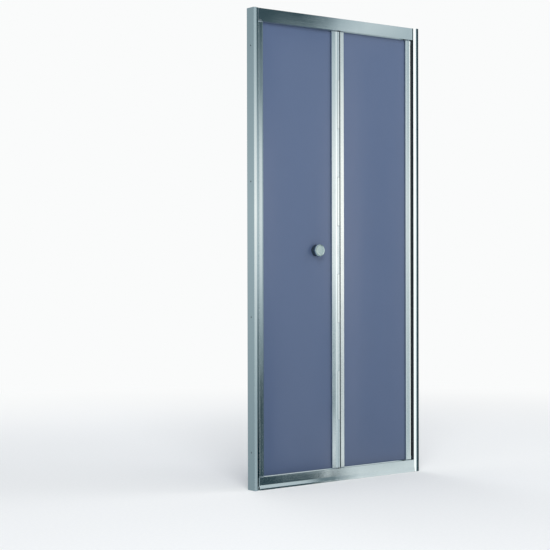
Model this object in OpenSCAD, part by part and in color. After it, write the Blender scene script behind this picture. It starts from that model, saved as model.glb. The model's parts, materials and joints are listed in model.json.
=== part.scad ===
// Framed folding shower door: two glazed leaves that fold inward between wall profiles.
// Built in millimetres, +Z up. Origin: bottom centre of the sill, halfway through the frame.
// Inside the modules, x is across the doorway, y is the depth behind the front plane.

/* [Overall] */
// Width over both wall profiles
door_w = 860; // [700:1:1100]
// Height over the sill and the head rail
door_h = 1850; // [1600:1:2100]
// Depth of the frame from front to back
frame_d = 46; // [46:0.5:60]

/* [Wall profiles] */
// Width of the legs that hold the jamb
wall_leg_w = 12; // [11:0.5:13]
// Thickness of the web that lies on the wall
wall_web_t = 1.8; // [1.5:0.1:2.4]
// Thickness of the rear leg, and of the front leg at its root
wall_leg_t = 1.6; // [1.2:0.1:2]
// How far the front leg slopes forward over its width
wall_slope = 1; // [0.6:0.1:1.4]
// Radius of the screw holes for the wall
wall_hole_r = 2.75; // [2:0.25:3.5]
// Distance of the outermost wall screw holes from the ends of the wall profile
wall_hole_z = 145; // [100:5:200]
// Distance between the two middle wall screw holes
wall_inner_pitch = 520; // [300:10:700]

/* [Jambs] */
// Distance from the outer edge of the door to the jamb's inner face
jamb_reach = 24; // [23.5:0.5:28]
// Wall thickness of the jamb
jamb_t = 1.6; // [1.4:0.1:2]
// Free depth between the jamb and the wall profile's web
jamb_adjust = 4; // [3:0.5:5]
// Screws that lock each jamb to its wall profile
jamb_screw_n = 3; // [2:1:4]
// Height of the lowest jamb screw, and of the highest below the top
jamb_screw_low_z = 180; // [120:5:240]
// How far the jamb's front face slants backward, towards the doorway
jamb_slant = 2.6; // [1.5:0.1:2.8]
// Play between the jamb and the wall profile's legs
slide_play = 0.2; // [0.1:0.05:0.3]

/* [Head rail] */
// Height of the head rail's front
head_h = 43; // [42:0.5:48]
// Depth of the head rail's front face behind the frame's front plane
head_inset = 7; // [6:0.5:7.5]
// Height of the head rail's rear wall
head_rear_h = 33; // [30:1:35]
// Wall thickness of the head rail and the sill
rail_t = 1.8; // [1.5:0.1:2]

/* [Sill] */
// Height of the sill's front
sill_h = 49; // [47:0.5:52]
// Height of the sill's foot, below its slope
sill_foot_h = 6.5; // [5:0.5:8]
// Height at which the sill's slope ends
sill_slope_h = 18.5; // [16:0.5:22]
// Depth of the sill's upper front face behind the front plane
sill_inset = 4; // [3:0.5:5]
// Height of the sill's deck
deck_h = 28; // [27:0.5:29]
// Height of the sill's rear wall
sill_rear_h = 30; // [29:0.5:31]

/* [Tracks and guides] */
// Outer width of the guide track
track_w = 18; // [17:0.5:18]
// Outer height of the guide track
track_h = 18; // [16:0.5:18]
// Wall thickness of the guide track
track_t = 1.8; // [1.5:0.1:2]
// Width of the track's slot
track_slot = 8; // [7.4:0.2:9]
// Play of a guide shoe on each side in the track
shoe_play = 0.3; // [0.2:0.05:0.4]
// Length of a guide shoe
shoe_l = 32; // [28:1:38]
// Distance from the guide pin to the shoe's nose, towards the closing jamb
shoe_nose = 10; // [9:0.5:10.5]
// Height of a guide shoe
shoe_h = 11; // [9:0.5:12]
// Radius of the guide pins
guide_pin_r = 3; // [2.5:0.25:3.25]

/* [Pivots] */
// Radius of the pivot pins
pivot_pin_r = 4; // [3:0.25:4.5]
// Outer radius of the pivot bushes
bush_r = 6.5; // [6:0.25:7]
// Radius of the flange of a pivot bush
bush_flange_r = 8.5; // [8:0.25:8.75]
// Reach of a pivot block from the pivot axis towards the track
pivot_block_reach = 20; // [19:0.5:24]
// Distance from the stile's outer edge to the pivot and guide axes
axis_inset = 8; // [7.5:0.5:9]

/* [Leaves] */
// Depth of the leaves' front faces behind the front plane
leaf_inset = 17; // [17:0.5:19]
// Thickness of a leaf
leaf_t = 20; // [18:0.5:20]
// Height of the leaves' lower edge
leaf_bottom = 36; // [36:0.5:38]
// Free height over the leaves, up to the top of the frame
leaf_head_room = 36; // [36:0.5:38]
// Gap between the jamb and the outer stile
stile_gap = 7; // [7:0.25:8]
// Width of the outer stiles
stile_w = 25.5; // [25:0.5:30]
// Wall thickness of the stiles and the leaf rails
stile_t = 1.8; // [1.5:0.1:2]
// Radius of the outer stiles' outer edges
stile_edge_r = 2.5; // [2:0.5:4]
// Width of the bevel along the outer stiles' edge next to the glass
stile_bead_w = 6; // [4:0.5:8]
// Depth of that bevel
stile_bead_drop = 1.5; // [1:0.1:2]
// Bevel of the leaf rails' front edge next to the glass
rail_bevel = 3; // [2:0.5:3.5]
// Height of the leaves' bottom rail
leaf_foot_h = 14.5; // [14.5:0.5:17]
// Height of the leaves' top rail
leaf_head_h = 14; // [14:0.5:16]
// How far the top corner keys reach below the leaves' top rail
key_drop = 2; // [0.5:0.5:3]

/* [Fold] */
// Width of the leading leaf's hinge stile left of the fold axis
fold_stile_w = 29; // [28:0.5:34]
// How far the leading leaf's hinge stile reaches past the fold axis
fold_overlap = 2; // [1:0.5:3]
// Distance from the fold axis to the pivot leaf's hinge stile
fold_gap = 15.5; // [15:0.5:16.5]
// Width of the pivot leaf's hinge stile
fold_lesser_w = 18; // [18:0.5:22]
// Radius of the hinge barrel
barrel_r = 5; // [4.5:0.25:5.5]
// Width of the cradle that carries the barrel, left of the fold axis
cradle_w = 10; // [8:0.5:12]
// Depth of the pivot leaf's hinge arm behind the leaves' front faces
arm_drop = 3.5; // [2.5:0.25:4]
// Depth of the rubber strip over that arm behind the leaves' front faces
wiper_sink = 0.6; // [0.4:0.1:1]
// Gap between the barrel and the leaves' front faces
barrel_gap = 0.5; // [0.4:0.1:1]
// Number of knuckles, an odd number
knuckle_n = 9; // [5:2:13]
// Gap between two knuckles
knuckle_gap = 1.4; // [1.4:0.1:2]
// Radius of the hinge pin
fold_pin_r = 2.5; // [2:0.1:2.8]
// Running clearance of pins in bores, on the radius
pin_play = 0.05; // [0.03:0.01:0.08]
// Clearance of pins, screws and bushes that are held tight, on the radius
held_play = 0.01; // [0.01:0.005:0.02]

/* [Glass] */
// Thickness of the glass
glass_t = 5; // [4:0.5:6]
// How far the glass reaches into the stiles and leaf rails
glass_bite = 8; // [6:0.5:8]
// Thickness of the glazing gasket
gasket_t = 1.4; // [1:0.1:1.6]

/* [Seals] */
// Width of the magnetic strips
magnet_w = 8; // [6:0.5:9]
// How far the magnetic strips are sunk in
magnet_sink = 1; // [0.8:0.1:1.2]
// How far the leaf's magnetic strip stands proud
leaf_magnet_proud = 3; // [2.5:0.1:3.2]
// How far the jamb's magnetic strip stands proud
jamb_magnet_proud = 3; // [2.5:0.1:3.2]
// Thickness of the drip seals
drip_t = 3; // [2:0.5:4]
// Height of the drip seals under the leaves
drip_h = 4; // [3:0.5:5]
// How far the jamb seal reaches past the jamb
jamb_seal_reach = 9; // [8:0.5:10]
// Thickness of the jamb seal
jamb_seal_t = 4; // [3:0.5:5]

/* [Knob] */
// Radius of the outer knob's head
knob_r = 24; // [18:0.5:26]
// Distance that the outer knob stands out of the glass
knob_stand = 28; // [24:0.5:30]
// Radius of the inner knob's head
inner_knob_r = 16; // [14:0.5:20]
// Distance that the inner knob stands out of the glass
inner_knob_stand = 22; // [18:0.5:26]
// Distance of the knob from the fold axis
knob_from_fold = 107; // [90:1:140]
// Height of the knob above the foot of the door
knob_z = 922; // [800:1:1100]
// Radius of the knob's stud
stud_r = 2.5; // [2:0.25:3]
// Radius of the hole through the glass
glass_hole_r = 5; // [4.5:0.25:6]

/* [Hidden] */
$fn = 48;

// A small overlap that makes cuts run clean through
cut = 1;
half_w = door_w / 2;
// Inner faces of the jambs, and ends of the head rail and the sill
jamb_x = half_w - jamb_reach;
rail_end = jamb_x - slide_play;
// Depth of the jamb's front and rear faces
leg_inner = wall_slope + wall_leg_t;
jamb_front = leg_inner + slide_play;
jamb_back = frame_d - wall_leg_t - slide_play;
jamb_outer = half_w - wall_web_t - jamb_adjust;
jamb_w = jamb_outer - jamb_x;
// Width of the jamb's slanting front, up to the tip of the wall profile's leg
slant_w = half_w - wall_leg_w - jamb_x;
// Rear face of the head rail and the sill
rail_back = frame_d - 2;

// Screws: shank radius, head radius, head height, and distance from the jamb's edge
screw_r = 1.6;
screw_head_r = 2.8;
screw_head_h = 2;
jamb_screw_l = 9;
frame_screw_l = 22;
screw_edge = 1.1;
jamb_screw_x = jamb_outer - screw_r - screw_edge;
jamb_screw_pitch = (door_h - 2 * jamb_screw_low_z) / (jamb_screw_n - 1);
cap_r = 4;
cap_h = 3.2;
cap_edge = 0.8;

// Screw ports of the head rail and the sill: radius, how far they sink into a wall,
// and places as depth and height
port_r = 3.4;
port_sink = 0.4;
head_port_drop = 12;
port_d = head_inset + rail_t + port_r - port_sink;
head_port = [port_d, door_h - head_port_drop];
sill_port = [port_d, deck_h - rail_t - port_r + port_sink];
sill_low_port = [port_d, rail_t + port_r - port_sink];
PORTS = [head_port, sill_port, sill_low_port];

// Depth of the leaves' middle, where the pivots and the guides stand
axis_d = leaf_inset + leaf_t / 2;
stile_x = jamb_x - stile_gap;
axis_x = stile_x - axis_inset;
stile_inner = stile_x - stile_w;
leaf_top = door_h - leaf_head_room;
stile_low = leaf_bottom + leaf_foot_h;
top_rail_low = leaf_top - leaf_head_h;
stile_high = top_rail_low - key_drop;

// Tracks: heights of their undersides
track_low = deck_h - track_h;
track_high = door_h - rail_t - track_h;
track_end = axis_x - pivot_block_reach - 1;
track_inner_w = track_w - 2 * track_t;
shoe_w = track_inner_w - 2 * shoe_play;
shoe_low = track_low + track_t + 0.6;
shoe_high = track_high + track_h - track_t - 0.6 - shoe_h;
groove_wall = axis_d - track_w / 2 - slide_play;
groove_back = axis_d + track_w / 2 + slide_play;

// Pivots: bush flange, and how deep the pins go into the leaf and the blocks
flange_h = 1.5;
pin_in_leaf = 30;
pin_in_block = 13;
guide_in_leaf = 24;
block_screw_l = 10;
block_screw_head_r = 2.4;
block_screw_edge = 5;
block_screw_x = axis_x - pivot_block_reach + block_screw_edge;
block_screw_ds = [axis_d - track_w / 4, axis_d + track_w / 4];
nut_play = 0.1;

// Glass pocket
pocket_w = glass_t + 2 * gasket_t + 2 * held_play;
pocket_depth = glass_bite + gasket_t + held_play;
glass_front = axis_d - glass_t / 2;
glass_back = axis_d + glass_t / 2;
glass_low = stile_low - glass_bite;
glass_high = top_rail_low + glass_bite;
// Wall between the glass pocket and the chamber of a leaf rail
pocket_floor = 1;

// Fold
fold_d = leaf_inset - barrel_gap - barrel_r;
fold_front = leaf_inset - fold_d;
fold_edge_r = 1.5;
lesser_edge_r = 1;
knuckle_low = stile_low + 1;
knuckle_high = stile_high - 1;
knuckle_l = (knuckle_high - knuckle_low - (knuckle_n - 1) * knuckle_gap) / knuckle_n;
washer_t = 1;
washer_r = barrel_r - 0.4;
jamb_seal_gap = 3.2;
arm_t = 2.6;
arm_angle = 35;
seal_face_gap = 0.6;
// Front line of the hinge arm, from the barrel to the narrow hinge stile, round the axis
arm_start = barrel_r * [cos(arm_angle), sin(arm_angle)];
arm_end = [fold_gap, fold_front + arm_drop];
fold_chamber = [fold_stile_w + fold_overlap - pocket_depth - 2 * stile_t, leaf_t - 2 * stile_t];

// Leaf edges: leading leaf spans from -stile_x to fold_overlap, pivot leaf from fold_gap
lead_glass = [-stile_inner - glass_bite, -fold_stile_w + glass_bite];
pivot_glass = [fold_gap + fold_lesser_w - glass_bite, stile_inner + glass_bite];
lead_rail = [-stile_inner, -fold_stile_w];
pivot_rail = [fold_gap + fold_lesser_w, stile_inner];

// Corner keys
key_play = 0.15;
key_leg = 40;
key_tongue = 22;
key_screw_drop = 18;
key_screw_l = 8;
tongue_t = 2.6;

// Knob
knob_x = -knob_from_fold;
knob_washer_t = 1;
knob_washer_r = 8;
knob_neck_r = 8;
knob_rim = 2.5;
knob_foot_w = 3;
knob_foot_h = 2;
knob_foot_rise = 5;
knob_bore_l = 14;

aluminium = [0.74, 0.79, 0.81];
light_plastic = [0.78, 0.80, 0.81];
dark_rubber = [0.16, 0.17, 0.18];
clear_seal = [0.62, 0.67, 0.72];
steel = [0.68, 0.70, 0.72];
glass_tint = [0.40, 0.46, 0.60, 0.85];

// Places its children, drawn from the front plane, around the row's origin
module from_front() {
    translate([0, -frame_d / 2, 0]) children();
}

// Extrudes a section drawn as depth and height along x
module along_x(x0, x1) {
    translate([x0, 0, 0]) rotate([90, 0, 90]) linear_extrude(x1 - x0) children();
}

// Extrudes a section drawn as x and depth upward
module along_z(z0, z1) {
    translate([0, 0, z0]) linear_extrude(z1 - z0) children();
}

// A round rod that points backward from a point on its front end
module rod_back(x, d, z, r, l) {
    translate([x, d, z]) rotate([-90, 0, 0]) cylinder(r = r, h = l);
}

// A round rod along +x from its left end
module rod_right(x, d, z, r, l) {
    translate([x, d, z]) rotate([0, 90, 0]) cylinder(r = r, h = l);
}

// Heights of the screws that lock a jamb to its wall profile
function jamb_screw_z(i) = jamb_screw_low_z + i * jamb_screw_pitch;

// Heights of the wall screw holes
function wall_hole_heights() = [
    wall_hole_z,
    (door_h - wall_inner_pitch) / 2,
    (door_h + wall_inner_pitch) / 2,
    door_h - wall_hole_z
];

// Wall profile on the right: web on the wall, straight rear leg, sloping front leg
module wall_profile() {
    tip = half_w - wall_leg_w;
    difference() {
        along_z(0, door_h) union() {
            translate([half_w - wall_web_t, wall_slope]) square([wall_web_t, frame_d - wall_slope]);
            translate([tip, frame_d - wall_leg_t]) square([wall_leg_w, wall_leg_t]);
            polygon([[tip, 0], [half_w, wall_slope], [half_w, leg_inner], [tip, leg_inner]]);
        }
        for (z = wall_hole_heights())
            rod_right(half_w - wall_web_t - cut, frame_d / 2, z, wall_hole_r, wall_web_t + 2 * cut);
        for (i = [0 : jamb_screw_n - 1])
            rod_back(jamb_screw_x, frame_d - wall_leg_t - cut, jamb_screw_z(i),
                screw_r + held_play, wall_leg_t + 2 * cut);
    }
}

module wall_profile_right() {
    color(aluminium) from_front() wall_profile();
}

module wall_profile_left() {
    color(aluminium) from_front() mirror([1, 0, 0]) wall_profile();
}

// Hollow of the right jamb, narrowed by a play and reaching to a distance from its face
module jamb_hollow(play, end) {
    wall = jamb_t + play;
    far = jamb_back - jamb_front - wall;
    translate([jamb_x, jamb_front]) polygon([
        [wall, wall + jamb_slant * (1 - wall / slant_w)], [slant_w, wall], [end, wall],
        [end, far], [wall, far]
    ]);
}

// Jamb on the right: a channel that is open towards the wall, its front slanting
module jamb_section() {
    depth = jamb_back - jamb_front;
    difference() {
        translate([jamb_x, jamb_front])
            polygon([[0, jamb_slant], [slant_w, 0], [jamb_w, 0], [jamb_w, depth], [0, depth]]);
        jamb_hollow(0, jamb_w + cut);
    }
}

module jamb() {
    difference() {
        along_z(0, door_h) jamb_section();
        for (p = PORTS)
            rod_right(jamb_x - cut, p[0], p[1], screw_r + held_play, jamb_t + 2 * cut);
        for (i = [0 : jamb_screw_n - 1])
            rod_back(jamb_screw_x, jamb_back - jamb_t - cut, jamb_screw_z(i),
                screw_r + held_play, jamb_t + 2 * cut);
    }
}

module jamb_right() {
    color(aluminium) from_front() jamb();
}

// The left jamb also has the groove of the magnetic strip
module jamb_left() {
    color(aluminium) from_front() difference() {
        mirror([1, 0, 0]) jamb();
        along_z(sill_h, stile_high)
            translate([-jamb_x - magnet_sink, axis_d - magnet_w / 2]) square([magnet_sink + cut, magnet_w]);
    }
}

// Head rail: front, top and rear walls, with a screw port
module head_rail() {
    color(aluminium) from_front() along_x(-rail_end, rail_end) difference() {
        union() {
            translate([head_inset, door_h - head_h]) square([rail_t, head_h]);
            translate([head_inset, door_h - rail_t]) square([rail_back - head_inset, rail_t]);
            translate([rail_back - rail_t, door_h - head_rear_h]) square([rail_t, head_rear_h]);
            translate(head_port) circle(port_r);
        }
        translate(head_port) circle(screw_r + held_play);
    }
}

// Track section, slot downward, with its underside at height 0
module track_section() {
    lip = (track_w - track_slot) / 2;
    translate([axis_d - track_w / 2, 0]) difference() {
        square([track_w, track_h]);
        translate([track_t, track_t]) square([track_inner_w, track_h - 2 * track_t]);
        translate([lip, -cut]) square([track_slot, track_t + 2 * cut]);
    }
}

module head_track() {
    color(aluminium) from_front() along_x(-rail_end, track_end)
        translate([0, track_high]) track_section();
}

module sill_track() {
    color(aluminium) from_front() along_x(-rail_end, track_end)
        translate([0, deck_h]) mirror([0, 1]) track_section();
}

// Sill: foot, sloping front, deck with the track's groove, rear wall, two screw ports
module sill_section() {
    floor_z = track_low - slide_play - rail_t;
    deck_z = deck_h - rail_t;
    difference() {
        polygon([
            [0, 0], [0, sill_foot_h], [sill_inset, sill_slope_h], [sill_inset, sill_h],
            [sill_inset + rail_t, sill_h], [sill_inset + rail_t, deck_h],
            [groove_wall, deck_h], [groove_wall, floor_z + rail_t],
            [groove_back, floor_z + rail_t], [groove_back, deck_h],
            [rail_back - rail_t, deck_h], [rail_back - rail_t, sill_rear_h],
            [rail_back, sill_rear_h], [rail_back, 0]
        ]);
        difference() {
            polygon([
                [rail_t, rail_t], [rail_t, sill_foot_h], [sill_inset + rail_t, sill_slope_h],
                [sill_inset + rail_t, deck_z], [groove_wall - rail_t, deck_z],
                [groove_wall - rail_t, floor_z], [groove_back + rail_t, floor_z],
                [groove_back + rail_t, deck_z], [rail_back - rail_t, deck_z],
                [rail_back - rail_t, rail_t]
            ]);
            translate(sill_port) circle(port_r);
            translate(sill_low_port) circle(port_r);
        }
        translate(sill_port) circle(screw_r + held_play);
        translate(sill_low_port) circle(screw_r + held_play);
    }
}

module sill() {
    color(aluminium) from_front() along_x(-rail_end, rail_end) sill_section();
}

// Plugs that close the jambs at the top
module jamb_top_plugs() {
    plug_h = 5;
    color(light_plastic) from_front() for (side = [0, 1]) mirror([side, 0, 0])
        along_z(door_h - plug_h, door_h) jamb_hollow(key_play, jamb_w);
}

// Screws from the jambs into the ports of the head rail and the sill
module frame_screws() {
    color(steel) from_front() for (side = [0, 1], p = PORTS) mirror([side, 0, 0]) {
        rod_right(jamb_x + jamb_t - frame_screw_l, p[0], p[1], screw_r, frame_screw_l);
        rod_right(jamb_x + jamb_t, p[0], p[1], screw_head_r, screw_head_h);
    }
}

// Screws that lock the jambs in the wall profiles, driven from the shower side
module jamb_screws() {
    color(steel) from_front() for (side = [0, 1], i = [0 : jamb_screw_n - 1]) mirror([side, 0, 0]) {
        rod_back(jamb_screw_x, frame_d - jamb_screw_l, jamb_screw_z(i), screw_r, jamb_screw_l);
        rod_back(jamb_screw_x, frame_d, jamb_screw_z(i), screw_head_r, screw_head_h);
    }
}

// Caps over the heads of the jamb screws
module screw_caps() {
    inner_r = screw_head_r + held_play;
    color(light_plastic) from_front()
        for (side = [0, 1], i = [0 : jamb_screw_n - 1]) mirror([side, 0, 0])
            translate([jamb_screw_x, frame_d, jamb_screw_z(i)]) rotate([-90, 0, 0])
                rotate_extrude() polygon([
                    [inner_r, 0], [cap_r, 0], [cap_r, cap_h - cap_edge], [cap_r - cap_edge, cap_h],
                    [0, cap_h], [0, screw_head_h], [inner_r, screw_head_h]
                ]);
}

// Nylon block that holds a pivot bush, its underside at z0, its mouth up or down
module pivot_block(z0) {
    difference() {
        translate([axis_x - pivot_block_reach, axis_d - track_w / 2, z0])
            cube([rail_end - axis_x + pivot_block_reach, track_w, track_h]);
        translate([axis_x, axis_d, z0 - cut]) cylinder(r = bush_r + held_play, h = track_h + 2 * cut);
        for (d = block_screw_ds)
            translate([block_screw_x, d, z0 - cut])
                cylinder(r = screw_r + held_play, h = track_h + 2 * cut);
    }
}

module top_pivot_block() {
    color(light_plastic) from_front() pivot_block(track_high);
}

module bottom_pivot_block() {
    color(light_plastic) from_front() pivot_block(track_low);
}

// Flanged bush, flange outward over its block, along +z from its inner end
module bush() {
    rotate_extrude() polygon([
        [pivot_pin_r + pin_play, 0], [bush_r, 0], [bush_r, track_h],
        [bush_flange_r, track_h], [bush_flange_r, track_h + flange_h],
        [pivot_pin_r + pin_play, track_h + flange_h]
    ]);
}

module pivot_bushes() {
    color(steel) from_front() {
        translate([axis_x, axis_d, track_low]) bush();
        translate([axis_x, axis_d, track_high + track_h]) mirror([0, 0, 1]) bush();
    }
}

// Screws that hold the pivot blocks to the head rail and the sill
module pivot_block_screws() {
    color(steel) from_front() for (d = block_screw_ds) translate([block_screw_x, d, 0]) {
        translate([0, 0, deck_h - block_screw_l]) cylinder(r = screw_r, h = block_screw_l);
        translate([0, 0, deck_h]) cylinder(r = block_screw_head_r, h = 1);
        translate([0, 0, track_high]) cylinder(r = screw_r, h = block_screw_l);
        translate([0, 0, track_high - 1]) cylinder(r = block_screw_head_r, h = 1);
    }
}

// Magnetic strip of the left jamb
module jamb_magnet_strip() {
    color(dark_rubber) from_front() along_z(sill_h + 1, stile_high - 1)
        translate([-jamb_x - magnet_sink + held_play, axis_d - magnet_w / 2 + held_play])
            square([magnet_sink + jamb_magnet_proud, magnet_w - 2 * held_play]);
}

// Seal fin on the right jamb, in front of the pivot leaf's edge
module jamb_seal() {
    seal_d = leaf_inset - jamb_seal_gap - jamb_seal_t;
    color(dark_rubber) from_front() along_z(sill_h + 1, door_h - head_h - 1)
        union() {
            translate([jamb_x - jamb_seal_reach + jamb_seal_t / 2, seal_d])
                square([jamb_seal_reach - jamb_seal_t / 2, jamb_seal_t]);
            translate([jamb_x - jamb_seal_reach + jamb_seal_t / 2, seal_d + jamb_seal_t / 2])
                circle(jamb_seal_t / 2);
        }
}

// Outline of a stile: rounded along its edge at x = 0, away from the glass, and with
// bevels of the given depth next to the glass
module stile_outline(w, r, drop) {
    polygon([
        [r, 0], [w - stile_bead_w, 0], [w, drop], [w, leaf_t - drop],
        [w - stile_bead_w, leaf_t], [r, leaf_t]
    ]);
    translate([0, r]) square([r + cut, leaf_t - 2 * r]);
    for (y = [r, leaf_t - r]) translate([r, y]) circle(r);
}

// Hollow stile section with its glass pocket at x = w
module stile_section(w, r, drop) {
    difference() {
        stile_outline(w, r, drop);
        translate([stile_t, stile_t])
            square([w - pocket_depth - 2 * stile_t, leaf_t - 2 * stile_t]);
        translate([w - pocket_depth, leaf_t / 2 - pocket_w / 2]) square([pocket_depth + cut, pocket_w]);
    }
}

// Outer stile of the pivot leaf, on the right
module outer_stile() {
    difference() {
        along_z(stile_low, stile_high) translate([stile_x, leaf_inset]) mirror([1, 0])
            stile_section(stile_w, stile_edge_r, stile_bead_drop);
        for (z = [stile_low + key_screw_drop, stile_high - key_screw_drop])
            rod_back(axis_x, leaf_inset + leaf_t - stile_t - cut, z, screw_r + held_play,
                stile_t + 2 * cut);
    }
}

module pivot_stile() {
    color(aluminium) from_front() outer_stile();
}

// Outer stile of the leading leaf, with the groove of its magnetic strip
module closing_stile() {
    color(aluminium) from_front() difference() {
        mirror([1, 0, 0]) outer_stile();
        along_z(stile_low - cut, stile_high + cut)
            translate([-stile_x - cut, axis_d - magnet_w / 2]) square([magnet_sink + cut, magnet_w]);
    }
}

module leaf_magnet_strip() {
    color(dark_rubber) from_front() along_z(stile_low, stile_high)
        translate([-stile_x - leaf_magnet_proud, axis_d - magnet_w / 2 + held_play])
            square([magnet_sink + leaf_magnet_proud - held_play, magnet_w - 2 * held_play]);
}

// Height at which knuckle i starts
function knuckle_z(i) = knuckle_low + i * (knuckle_l + knuckle_gap);

// Cradle on the wide hinge stile, left of the barrel, round the fold axis
module fold_cradle() {
    root = fold_front + stile_t / 2;
    inner = barrel_r / 2;
    polygon([
        [-barrel_r, 0], [-cradle_w, fold_front], [-cradle_w, root], [-inner, root], [-inner, 0]
    ]);
}

// Wide hinge stile: its cradle runs full height and carries the even knuckles
module leading_leaf_hinge_stile() {
    w = fold_stile_w + fold_overlap;
    color(aluminium) from_front() difference() {
        union() {
            along_z(stile_low, stile_high) {
                translate([fold_overlap, leaf_inset]) mirror([1, 0])
                    stile_section(w, fold_edge_r, 0);
                translate([0, fold_d]) difference() {
                    fold_cradle();
                    circle(barrel_r + barrel_gap);
                }
            }
            for (i = [0 : 2 : knuckle_n - 1])
                translate([0, fold_d, knuckle_z(i)]) {
                    cylinder(r = barrel_r, h = knuckle_l);
                    linear_extrude(knuckle_l) fold_cradle();
                }
        }
        for (i = [0 : 2 : knuckle_n - 1])
            translate([0, fold_d, knuckle_z(i) - knuckle_gap / 3])
                cylinder(r = fold_pin_r + held_play, h = knuckle_l + knuckle_gap * 2 / 3);
        for (z = [stile_low + key_screw_drop, stile_high - key_screw_drop])
            rod_back(fold_overlap - stile_t - fold_chamber[0] / 2,
                leaf_inset + leaf_t - stile_t - cut, z, screw_r + held_play, stile_t + 2 * cut);
    }
}

// Slanting arm between the barrel and the narrow hinge stile, round the fold axis
module fold_arm() {
    reach = barrel_r + arm_t;
    polygon([
        [0, 0], arm_start, arm_end, arm_end + [stile_t / 2, 0],
        arm_end + [stile_t / 2, arm_t], arm_end + [0, arm_t],
        [barrel_r * sin(arm_angle), reach * cos(arm_angle)]
    ]);
}

// Narrow hinge stile: its arm runs full height and carries the odd knuckles
module pivot_leaf_hinge_stile() {
    color(aluminium) from_front() difference() {
        union() {
            along_z(stile_low, stile_high) {
                translate([fold_gap, leaf_inset]) stile_section(fold_lesser_w, lesser_edge_r, 0);
                translate([0, fold_d]) difference() {
                    fold_arm();
                    circle(barrel_r + barrel_gap);
                }
            }
            for (i = [1 : 2 : knuckle_n - 2])
                translate([0, fold_d, knuckle_z(i)]) {
                    cylinder(r = barrel_r, h = knuckle_l);
                    linear_extrude(knuckle_l) fold_arm();
                }
        }
        for (i = [1 : 2 : knuckle_n - 2])
            translate([0, fold_d, knuckle_z(i) - knuckle_gap / 3])
                cylinder(r = fold_pin_r + pin_play, h = knuckle_l + knuckle_gap * 2 / 3);
        for (z = [stile_low + key_screw_drop, stile_high - key_screw_drop])
            rod_back(fold_gap + (fold_lesser_w - pocket_depth) / 2,
                leaf_inset + leaf_t - stile_t - cut, z, screw_r + held_play, stile_t + 2 * cut);
    }
}

// Leaf rail section with its glass pocket at its upper edge, its foot at height 0
module leaf_rail_section(h) {
    difference() {
        polygon([[0, 0], [leaf_t, 0], [leaf_t, h], [rail_bevel, h], [0, h - rail_bevel]]);
        translate([leaf_t / 2 - pocket_w / 2, h - pocket_depth]) square([pocket_w, pocket_depth + cut]);
        translate([stile_t, stile_t])
            square([leaf_t - 2 * stile_t, h - pocket_depth - stile_t - pocket_floor]);
    }
}

// A leaf's bottom rail between its stiles
module bottom_rail(ends) {
    along_x(ends[0], ends[1]) translate([leaf_inset, leaf_bottom]) leaf_rail_section(leaf_foot_h);
}

// A leaf's top rail between its stiles
module top_rail(ends) {
    along_x(ends[0], ends[1]) translate([leaf_inset, leaf_top]) mirror([0, 1])
        leaf_rail_section(leaf_head_h);
}

module pivot_leaf_top_rail() {
    color(aluminium) from_front() top_rail(pivot_rail);
}

module pivot_leaf_bottom_rail() {
    color(aluminium) from_front() bottom_rail(pivot_rail);
}

module leading_leaf_top_rail() {
    color(aluminium) from_front() top_rail(lead_rail);
}

module leading_leaf_bottom_rail() {
    color(aluminium) from_front() bottom_rail(lead_rail);
}

// A pane between two x positions
module pane(ends) {
    translate([ends[0], glass_front, glass_low])
        cube([ends[1] - ends[0], glass_t, glass_high - glass_low]);
}

module pivot_leaf_glass() {
    color(glass_tint) from_front() pane(pivot_glass);
}

module leading_leaf_glass() {
    color(glass_tint) from_front() difference() {
        pane(lead_glass);
        rod_back(knob_x, glass_front - cut, knob_z, glass_hole_r, glass_t + 2 * cut);
    }
}

// Gasket round a pane: a ring with a groove for the glass
module gaskets(ends) {
    w = ends[1] - ends[0];
    h = glass_high - glass_low;
    difference() {
        translate([ends[0] - gasket_t, glass_front - gasket_t, glass_low - gasket_t])
            cube([w + 2 * gasket_t, glass_t + 2 * gasket_t, h + 2 * gasket_t]);
        translate([ends[0] - held_play, glass_front - held_play, glass_low - held_play])
            cube([w + 2 * held_play, glass_t + 2 * held_play, h + 2 * held_play]);
        translate([ends[0] + glass_bite, glass_front - gasket_t - cut, glass_low + glass_bite])
            cube([w - 2 * glass_bite, glass_t + 2 * gasket_t + 2 * cut, h - 2 * glass_bite]);
    }
}

module pivot_leaf_gaskets() {
    color(dark_rubber) from_front() gaskets(pivot_glass);
}

module leading_leaf_gaskets() {
    color(dark_rubber) from_front() gaskets(lead_glass);
}

// Corner key with its outer edge at x = 0 and its underside at height 0: a head as wide
// as the stile, a leg up into the stile and a tongue along +x into the leaf rail
module corner_key(w, r, drop, rail_h, head_h, leg_w, hole_x, hole_r) {
    deep = leaf_t - 2 * stile_t - 2 * key_play;
    difference() {
        union() {
            linear_extrude(head_h) stile_outline(w - key_play, r, drop);
            translate([stile_t + key_play, stile_t + key_play, head_h - cut])
                cube([leg_w, deep, key_leg]);
            translate([w - cut, stile_t + key_play, stile_t + key_play])
                cube([
                    key_tongue, deep,
                    rail_h - pocket_depth - stile_t - pocket_floor - 2 * key_play
                ]);
        }
        translate([w - pocket_depth, leaf_t / 2 - pocket_w / 2, rail_h - pocket_depth])
            cube([pocket_depth + cut, pocket_w, pocket_depth + head_h - rail_h + cut]);
        if (hole_r > 0)
            translate([hole_x, leaf_t / 2, -cut]) cylinder(r = hole_r + held_play, h = key_leg);
    }
}

// Screw holes in the legs of the keys, from the back
module key_screw_hole(x) {
    for (z = [stile_low + key_screw_drop, stile_high - key_screw_drop])
        rod_back(x, leaf_inset + leaf_t - stile_t - key_screw_l, z, screw_r + held_play,
            key_screw_l + 2 * stile_t);
}

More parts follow.
